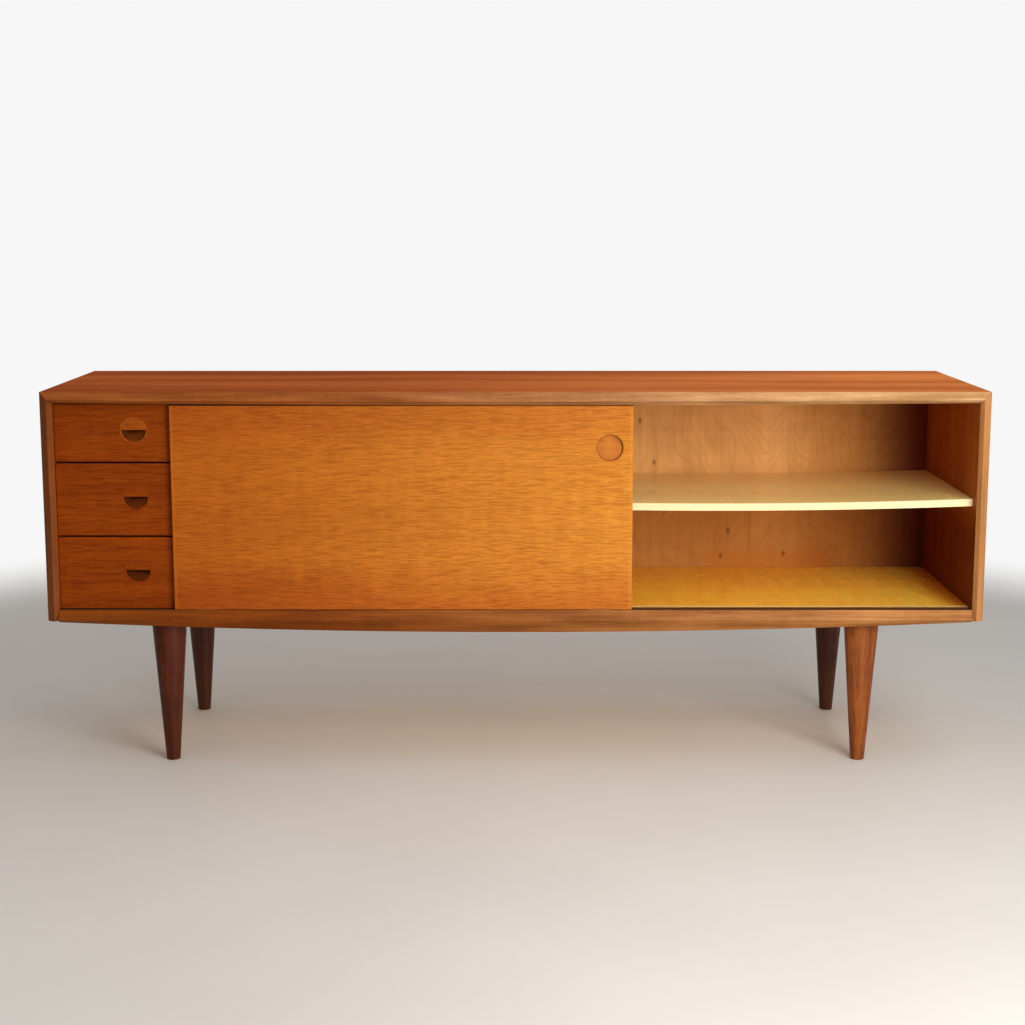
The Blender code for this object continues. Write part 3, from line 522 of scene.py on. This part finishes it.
def paint_boards():
    # painted light: the top gets lighter towards the window at its right end
    put("top_panel", wood(
        "top_teak", "X", TEAK_TOP, (0.4, 7.3, 0), "Z", band=0.7, streak=0.35, line=0.15,
        ripple=0.05, roughness=0.62, specular=0.02,
        overlay=painted_light_to_the_right(TOP_PAINTED_LIGHT, TOP_START)))
    put("left_side_panel", wood("left_side_teak", "Z", TEAK_SIDE, (3, 1, 2), "X", spread=0.22))
    put("right_side_panel", wood(
        "right_side_teak", "Z", TEAK_SIDE, (3, 1, 2), "X", spread=0.22,
        overlay=inner_shade(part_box("shelf")[1][0])))
    for name in ("drawer_divider", "bay_divider"):
        put(name, wood(f"{name}_teak", "Z", TEAK_SIDE, (5, 2, 1)))
    # painted shade on the left lipping and painted light on the right one
    put("left_lipping", wood("left_lipping_teak", "Z", LEFT_LIPPING_PAINTED_SHADE, (1, 4, 2), line=0.25))
    put("right_lipping", wood("right_lipping_teak", "Z", RIGHT_LIPPING_PAINTED_LIGHT, (1, 4, 2), line=0.25))
    # painted light: the top lipping and the rail get lighter towards the window at their right ends
    put("top_lipping", wood(
        "top_lipping_teak", "X", LIPPING_TOP, (2, 3, 7), figure=0.25, streak=0.55,
        overlay=painted_light_to_the_right(TOP_LIPPING_PAINTED_LIGHT, FRONT_START)))
    put("lower_front_rail", wood(
        "rail_teak", "X", RAIL, (4, 2, 5), figure=0.3, streak=0.6,
        overlay=painted_light_to_the_right(RAIL_PAINTED_LIGHT, FRONT_START)))
    put("bottom_panel", wood(
        "floor_birch", "X", BIRCH_FLOOR, (1, 1, 1), "Z", spread=0.2, band=0.5, streak=0.1, line=0.0,
        ripple=0.3, pores=0.0, roughness=0.25, specular=0.5, relief=0.0, overlay=floor_marks))
    put("back_panel", wood(
        "back_birch", "Z", BIRCH_BACK, (2, 1, 6), "Y", spread=0.2, band=0.3, streak=0.2, line=0.1,
        ripple=0.15, figure=0.15, figure_scale=(2.0, 5.5), rings=5.0, pores=0.05,
        overlay=plywood_marks))
    put("shelf", wood(
        "shelf_birch", "X", BIRCH_SHELF, (3, 3, 3), "Z", spread=0.06, band=0.3, streak=0.1, line=0.0,
        ripple=0.35, pores=0.0, roughness=0.22, specular=0.5, relief=0.0,
        overlay=front_strip(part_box("shelf")[0][1], SHELF_STRIP_WIDTH, SHELF_EDGE, 0.8)))
    for name in ("lower_door_track", "upper_door_track"):
        put(name, wood(f"{name}_wood", "X", TRACK, (6, 1, 1)))


def paint_drawers():
    for number, name in enumerate(DRAWERS):
        shift = (1.7 * number, 2.3, 3.1 * number)
        put(f"{name}_front", wood(
            f"{name}_teak", "X", TEAK_DRAWER, shift, "Y", band=0.4, streak=0.3, line=0.8,
            specular=0.05))
        box_wood = wood(f"{name}_box_wood", "Y", DRAWER_BOX, shift, spread=0.2, pores=0.1)
        for piece in ("left_side", "right_side", "bottom", "left_runner", "right_runner"):
            put(f"{name}_{piece}", box_wood)
        put(f"{name}_back", wood(
            f"{name}_back_wood", "X", DRAWER_BOX, shift, spread=0.2, pores=0.1))


def paint_doors():
    for number, name in enumerate(DOORS):
        low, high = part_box(f"{name}_panel")
        put(f"{name}_panel", wood(
            f"{name}_teak", "X", TEAK_DOOR, (4.4 * number, 1.0, 2.6 * number), "Y", spread=0.2,
            band=0.35, streak=0.2, line=1.2, ripple=0.2, pores=0.5,
            overlay=door_overlay(low, high)))
        for side in SIDES:
            put(f"{name}_{side}_glide", nylon())


def paint_pins():
    shader = Shader("pin_brass", Metallic=1.0)
    tarnish = shader.noise(shader.stretch((300, 300, 300)), detail=3.0)
    colour = shader.ramp(tarnish, *zip(CLOUD_TONES, BRASS_TONES))
    gloss = shader.span(tarnish, *CLOUD_TONES, 0.42, 0.25)
    brass = shader.finish(colour, gloss, tarnish, 0.00002)
    for side in SIDES:
        for row in ROWS:
            put(f"shelf_pin_{side}_{row}", brass)


def nylon():
    known = bpy.data.materials.get("nylon")
    if known:
        return known
    shader = Shader("nylon", Specular_IOR_Level=0.4)
    wear = shader.noise(shader.stretch((90, 400, 400)), detail=2.0)
    colour = shader.ramp(wear, *zip(CLOUD_TONES, NYLON_TONES))
    return shader.finish(colour, shader.span(wear, *CLOUD_TONES, 0.5, 0.35), wear, 0.00003)


def put(node_name, material):
    piece = nodes[node_name]
    piece.data.materials.clear()
    piece.data.materials.append(material)


# Softened edges -----------------------------------------------------------------------

def round_edges(piece, width, segments=2, angle=30):
    bevel = piece.modifiers.new("rounding", "BEVEL")
    bevel.width = width
    bevel.segments = segments
    bevel.limit_method = "ANGLE"
    bevel.angle_limit = math.radians(angle)
    bevel.use_clamp_overlap = True
    bevel.harden_normals = True


def soften(node_name, width):
    """Welds a CAD node's split corners and rounds its edges."""
    piece = nodes[node_name]
    weld = piece.modifiers.new("weld", "WELD")
    weld.merge_threshold = MERGE_DISTANCE
    round_edges(piece, width)


def soften_boards():
    for name in ("top_panel", "left_side_panel", "right_side_panel", "bottom_panel", "back_panel",
                 "drawer_divider", "bay_divider", "left_lipping", "right_lipping"):
        soften(name, BOARD_EDGE)
    for name in DOORS:
        soften(f"{name}_panel", FREE_EDGE)
    for name in DRAWERS:
        soften(f"{name}_front", FREE_EDGE)
        for piece in ("left_side", "right_side", "back"):
            soften(f"{name}_{piece}", FREE_EDGE)


# Finer pieces -------------------------------------------------------------------------

def add_piece(name, shape, node_name, body, material):
    """A mesh that stands for a CAD node and moves with its body."""
    mesh = bpy.data.meshes.new(name)
    shape.to_mesh(mesh)
    shape.free()
    mesh.materials.append(material)
    mesh.shade_smooth()
    mesh.set_sharp_from_angle(angle=math.radians(SHARP_ANGLE))
    piece = bpy.data.objects.new(name, mesh)
    bpy.context.scene.collection.objects.link(piece)
    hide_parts(node_name)
    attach(piece, body)
    return piece


def build_curved_boards():
    """Boards that sag or arch, shaded smoothly along their curve."""
    for name, slot in (("top_lipping", "teak_solid"), ("lower_front_rail", "teak_solid"),
                       ("shelf", "birch_shelf")):
        shape = bmesh.new()
        shape.from_mesh(nodes[name].data)
        bmesh.ops.remove_doubles(shape, verts=shape.verts, dist=MERGE_DISTANCE)
        material = nodes[name].data.materials[0]
        board = add_piece(f"smooth_{name}", shape, name, "carcase", material)
        round_edges(board, BOARD_EDGE)


def turned_shape(profile):
    """Turns a (radius, height) profile round the Z axis."""
    shape = bmesh.new()
    points = [shape.verts.new((radius, 0.0, height)) for radius, height in profile]
    edges = [shape.edges.new(pair) for pair in zip(points, points[1:])]
    bmesh.ops.spin(
        shape, geom=points + edges, cent=(0, 0, 0), axis=(0, 0, 1), steps=ROUND_STEPS,
        angle=math.tau, use_merge=True)
    bmesh.ops.remove_doubles(shape, verts=shape.verts, dist=MERGE_DISTANCE)
    bmesh.ops.recalc_face_normals(shape, faces=shape.faces)
    return shape


def arc(centre, radius, start, end, steps=6):
    """Points of an arc in a profile, with its angles in degrees."""
    turns = [math.radians(start + (end - start) * i / steps) for i in range(steps + 1)]
    return [(centre[0] + radius * math.cos(a), centre[1] + radius * math.sin(a)) for a in turns]


def build_legs():
    for row in ROWS:
        for side in SIDES:
            name = f"leg_{row}_{side}"
            low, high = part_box(name)
            radius = (high[0] - low[0]) / 2
            shoulder = high[2] - LEG_TENON_HEIGHT
            profile = (
                [(0.0, high[2]), (LEG_TENON_RADIUS, high[2]), (LEG_TENON_RADIUS, shoulder)]
                + arc((radius - LEG_EDGE, shoulder - LEG_EDGE), LEG_EDGE, 90, 0)
                + arc((LEG_FOOT_RADIUS - LEG_EDGE, LEG_EDGE), LEG_EDGE, 0, -90)
                + [(0.0, 0.0)])
            shape = turned_shape(profile)
            shape.transform(Matrix.Translation(
                ((low[0] + high[0]) / 2, (low[1] + high[1]) / 2, 0.0)))
            colour = LEG_REAR
            if row == "front":
                colour = LEG_WARM if side == "right" else LEG_FRONT
            material = wood(
                f"{name}_wood", "Z", colour, (len(name), 2, 3), spread=0.45, streak=0.6,
                roughness=0.40, specular=0.2)
            add_piece(f"turned_{name}", shape, name, "carcase", material)
            put(f"leg_block_{row}_{side}", wood(
                f"leg_block_{row}_{side}_wood", "X", LEG_BLOCK, (1, 5, 2)))


def build_door_pulls():
    """A turned dish: flush ring, rounded wall, flat floor."""
    for number, name in enumerate(DOORS):
        low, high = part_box(f"{name}_pull")
        rim = (high[0] - low[0]) / 2
        wall = rim - DISH_RING
        depth = high[1] - low[1]
        profile = (
            [(0.0, -DISH_HOLLOW)]
            + arc((wall - DISH_COVE, DISH_COVE - DISH_HOLLOW), DISH_COVE, -90, 0, 10)
            + arc((wall + PULL_EDGE, -PULL_EDGE), PULL_EDGE, 180, 90, 4)
            + [(rim, 0.0), (rim, -depth), (0.0, -depth)])
        shape = turned_shape(profile)
        middle = Vector(((low[0] + high[0]) / 2, low[1], (low[2] + high[2]) / 2))
        shape.transform(Matrix.Translation(middle) @ Matrix.Rotation(math.radians(90), 4, "X"))
        # painted shade in the dish
        material = wood(
            f"{name}_pull_teak", "X", TEAK_DOOR_PULL, (9, 9, number), spread=0.25, ripple=0.4,
            overlay=recess((low, high), RECESS_MARGIN, DISH_HOLLOW - RECESS_MARGIN))
        add_piece(f"{name}_dish", shape, f"{name}_pull", name, material)


def helper_object(shape):
    """A mesh object for a Boolean, removed again when the carving is done."""
    mesh = bpy.data.meshes.new("helper")
    shape.to_mesh(mesh)
    shape.free()
    holder = bpy.data.objects.new("helper", mesh)
    bpy.context.scene.collection.objects.link(holder)
    return holder


def carved(shape, tools):
    """The shape with every tool's shape taken out of it."""
    block = helper_object(shape)
    cutters = [helper_object(tool) for tool in tools]
    for cutter in cutters:
        boolean = block.modifiers.new("carve", "BOOLEAN")
        boolean.operation = "DIFFERENCE"
        boolean.solver = "EXACT"
        boolean.object = cutter
    graph = bpy.context.evaluated_depsgraph_get()
    mesh = bpy.data.meshes.new_from_object(block.evaluated_get(graph))
    result = bmesh.new()
    result.from_mesh(mesh)
    bmesh.ops.remove_doubles(result, verts=result.verts, dist=MERGE_DISTANCE)
    for holder in [block, *cutters]:
        bpy.data.objects.remove(holder, do_unlink=True)
    return result


def cylinder_shape(centre, radius, depth, taper=0.0):
    """A cylinder along Y whose front face holds the centre; its rear may be narrower."""
    shape = bmesh.new()
    place = Matrix.Translation(Vector(centre) + Vector((0, depth / 2, 0)))
    turn = Matrix.Rotation(math.radians(90), 4, "X")
    bmesh.ops.create_cone(
        shape, cap_ends=True, segments=ROUND_STEPS, radius1=radius - taper, radius2=radius,
        depth=depth, matrix=place @ turn)
    return shape


def clip(shape, point, normal):
    """Cuts off what lies in front of a plane and closes the cut."""
    everything = shape.verts[:] + shape.edges[:] + shape.faces[:]
    bmesh.ops.bisect_plane(
        shape, geom=everything, plane_co=point, plane_no=normal, clear_outer=True)
    rim = [edge for edge in shape.edges if edge.is_boundary]
    bmesh.ops.holes_fill(shape, edges=rim)
    bmesh.ops.recalc_face_normals(shape, faces=shape.faces)
    return shape


def build_drawer_pulls():
    """A round insert: the fingers enter the open lower half and hook behind the upper one."""
    for number, name in enumerate(DRAWERS):
        low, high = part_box(f"{name}_pull")
        centre = Vector(((low[0] + high[0]) / 2, low[1], (low[2] + high[2]) / 2))
        lip = Vector((0, PULL_LIP, 0))
        taper = 2 * (PULL_MOUTH_RADIUS - PULL_BOWL_RADIUS)
        mouth = clip(
            cylinder_shape(centre - lip, PULL_MOUTH_RADIUS + taper / 2, 2 * PULL_LIP, taper),
            centre, (0, 0, 1))
        bowl = bmesh.new()
        behind_lip = centre + lip
        scale = Matrix.Diagonal((PULL_BOWL_RADIUS, PULL_BOWL_DEPTH - PULL_LIP, PULL_BOWL_RADIUS, 1))
        bmesh.ops.create_uvsphere(
            bowl, u_segments=ROUND_STEPS, v_segments=ROUND_STEPS // 2, radius=1.0,
            matrix=Matrix.Translation(behind_lip) @ scale @ Matrix.Rotation(math.radians(90), 4, "X"))
        clip(bowl, behind_lip, (0, -1, 0))
        disc = cylinder_shape(centre, (high[0] - low[0]) / 2, high[1] - low[1])
        shape = carved(disc, [mouth, bowl])
        # painted shade in the mouth and bowl
        material = wood(
            f"{name}_pull_teak", "X", TEAK_DRAWER if number else TEAK_PULL,
            (1.7 * number, 2.3, 3.1 * number), line=0.7, specular=0.05,
            overlay=recess((low, high), PULL_LIP - RECESS_MARGIN, PULL_BOWL_DEPTH + RECESS_MARGIN))
        insert = add_piece(
            f"{name}_insert", shape, f"{name}_pull", name, material)
        round_edges(insert, PULL_EDGE, 3, 40)


# Stage --------------------------------------------------------------------------------

def build_floor():
    mesh = bpy.data.meshes.new("floor")
    shape = bmesh.new()
    bmesh.ops.create_grid(shape, x_segments=1, y_segments=1, size=FLOOR_SIZE)
    shape.to_mesh(mesh)
    shape.free()
    floor = bpy.data.objects.new("floor", mesh)
    bpy.context.scene.collection.objects.link(floor)
    shader = Shader("pale_floor", Specular_IOR_Level=0.2)
    cloud = shader.noise(shader.stretch((1.5, 1.5, 1.5)), detail=4.0)
    colour = shader.ramp(cloud, *zip(CLOUD_TONES, FLOOR_TONES))
    # painted shade: the floor gets darker towards the window
    colour = shader.drift(colour, "X", STAGE_FLOOR_SHADE_REACH, STAGE_FLOOR_PAINTED_SHADE)
    shader.finish(colour, shader.span(cloud, *CLOUD_TONES, 0.5, 0.6), cloud, 0.0)
    distance = shader.add(
        "ShaderNodeVectorMath", {0: shader.place}, operation="LENGTH").outputs["Value"]
    share = shader.span(distance, *FLOOR_FADE)
    clear = shader.add("ShaderNodeBsdfTransparent")
    fade = shader.add("ShaderNodeMixShader", {
        0: share, 1: shader.surface.outputs[0], 2: clear.outputs[0]})
    shader.tree.links.new(
        fade.outputs[0], shader.tree.nodes["Material Output"].inputs["Surface"])
    mesh.materials.append(shader.material)


def build_world():
    """A pale backdrop for the camera, and for everything else a room lit from above."""
    world = bpy.data.worlds.new("studio")
    bpy.context.scene.world = world
    world.use_nodes = True
    tree = world.node_tree

    def add(kind, inputs, **settings):
        node = tree.nodes.new(kind)
        for key, value in settings.items():
            setattr(node, key, value)
        for key, value in inputs.items():
            if isinstance(value, bpy.types.NodeSocket):
                tree.links.new(value, node.inputs[key])
            else:
                node.inputs[key].default_value = value
        return node

    direction = tree.nodes.new("ShaderNodeTexCoord").outputs["Generated"]
    parts = add("ShaderNodeSeparateXYZ", {0: direction}).outputs
    height = add("ShaderNodeMapRange", {
        "Value": parts["Z"], "From Min": 0.0, "From Max": 1.0, "To Min": ROOM_LOW,
        "To Max": ROOM_HIGH}).outputs["Result"]
    tilt = add(
        "ShaderNodeMath", {0: parts["X"], 1: ROOM_TILT, 2: 1.0},
        operation="MULTIPLY_ADD").outputs[0]
    strength = add("ShaderNodeMath", {0: height, 1: tilt}, operation="MULTIPLY").outputs[0]
    room = add("ShaderNodeBackground", {"Color": (*ROOM_COLOUR, 1.0), "Strength": strength})
    seen = add("ShaderNodeBackground", {"Color": (*BACKDROP, 1.0)})
    path = tree.nodes.new("ShaderNodeLightPath").outputs["Is Camera Ray"]
    choose = add("ShaderNodeMixShader", {0: path, 1: room.outputs[0], 2: seen.outputs[0]})
    tree.links.new(choose.outputs[0], tree.nodes["World Output"].inputs["Surface"])


def area_light(name, place, aim, size, power, colour):
    light = bpy.data.lights.new(name, "AREA")
    light.shape = "RECTANGLE"
    light.size, light.size_y = size
    light.energy = power
    light.color = colour
    holder = bpy.data.objects.new(name, light)
    holder.location = place
    holder.rotation_euler = (Vector(place) - Vector(aim)).to_track_quat("Z", "Y").to_euler()
    bpy.context.scene.collection.objects.link(holder)


def build_lights():
    area_light(
        "window", WINDOW_PLACE, WINDOW_AIM, WINDOW_SIZE, WINDOW_POWER, WINDOW_COLOUR)
    area_light(
        "overhead", OVERHEAD_PLACE, OVERHEAD_AIM, OVERHEAD_SIZE, OVERHEAD_POWER,
        OVERHEAD_COLOUR)


def build_camera():
    lens = bpy.data.cameras.new("camera")
    lens.lens = CAMERA_LENS
    lens.sensor_width = 36.0
    camera = bpy.data.objects.new("camera", lens)
    camera.location = CAMERA_PLACE
    camera.rotation_euler = (math.radians(90 - CAMERA_PITCH), 0, 0)
    bpy.context.scene.collection.objects.link(camera)
    bpy.context.scene.camera = camera


build_camera()
build_world()
build_lights()
build_floor()
bpy.context.scene.view_settings.view_transform = "Standard"

soften_boards()
paint_boards()
paint_drawers()
paint_doors()
paint_pins()
build_curved_boards()
build_legs()
build_door_pulls()
build_drawer_pulls()
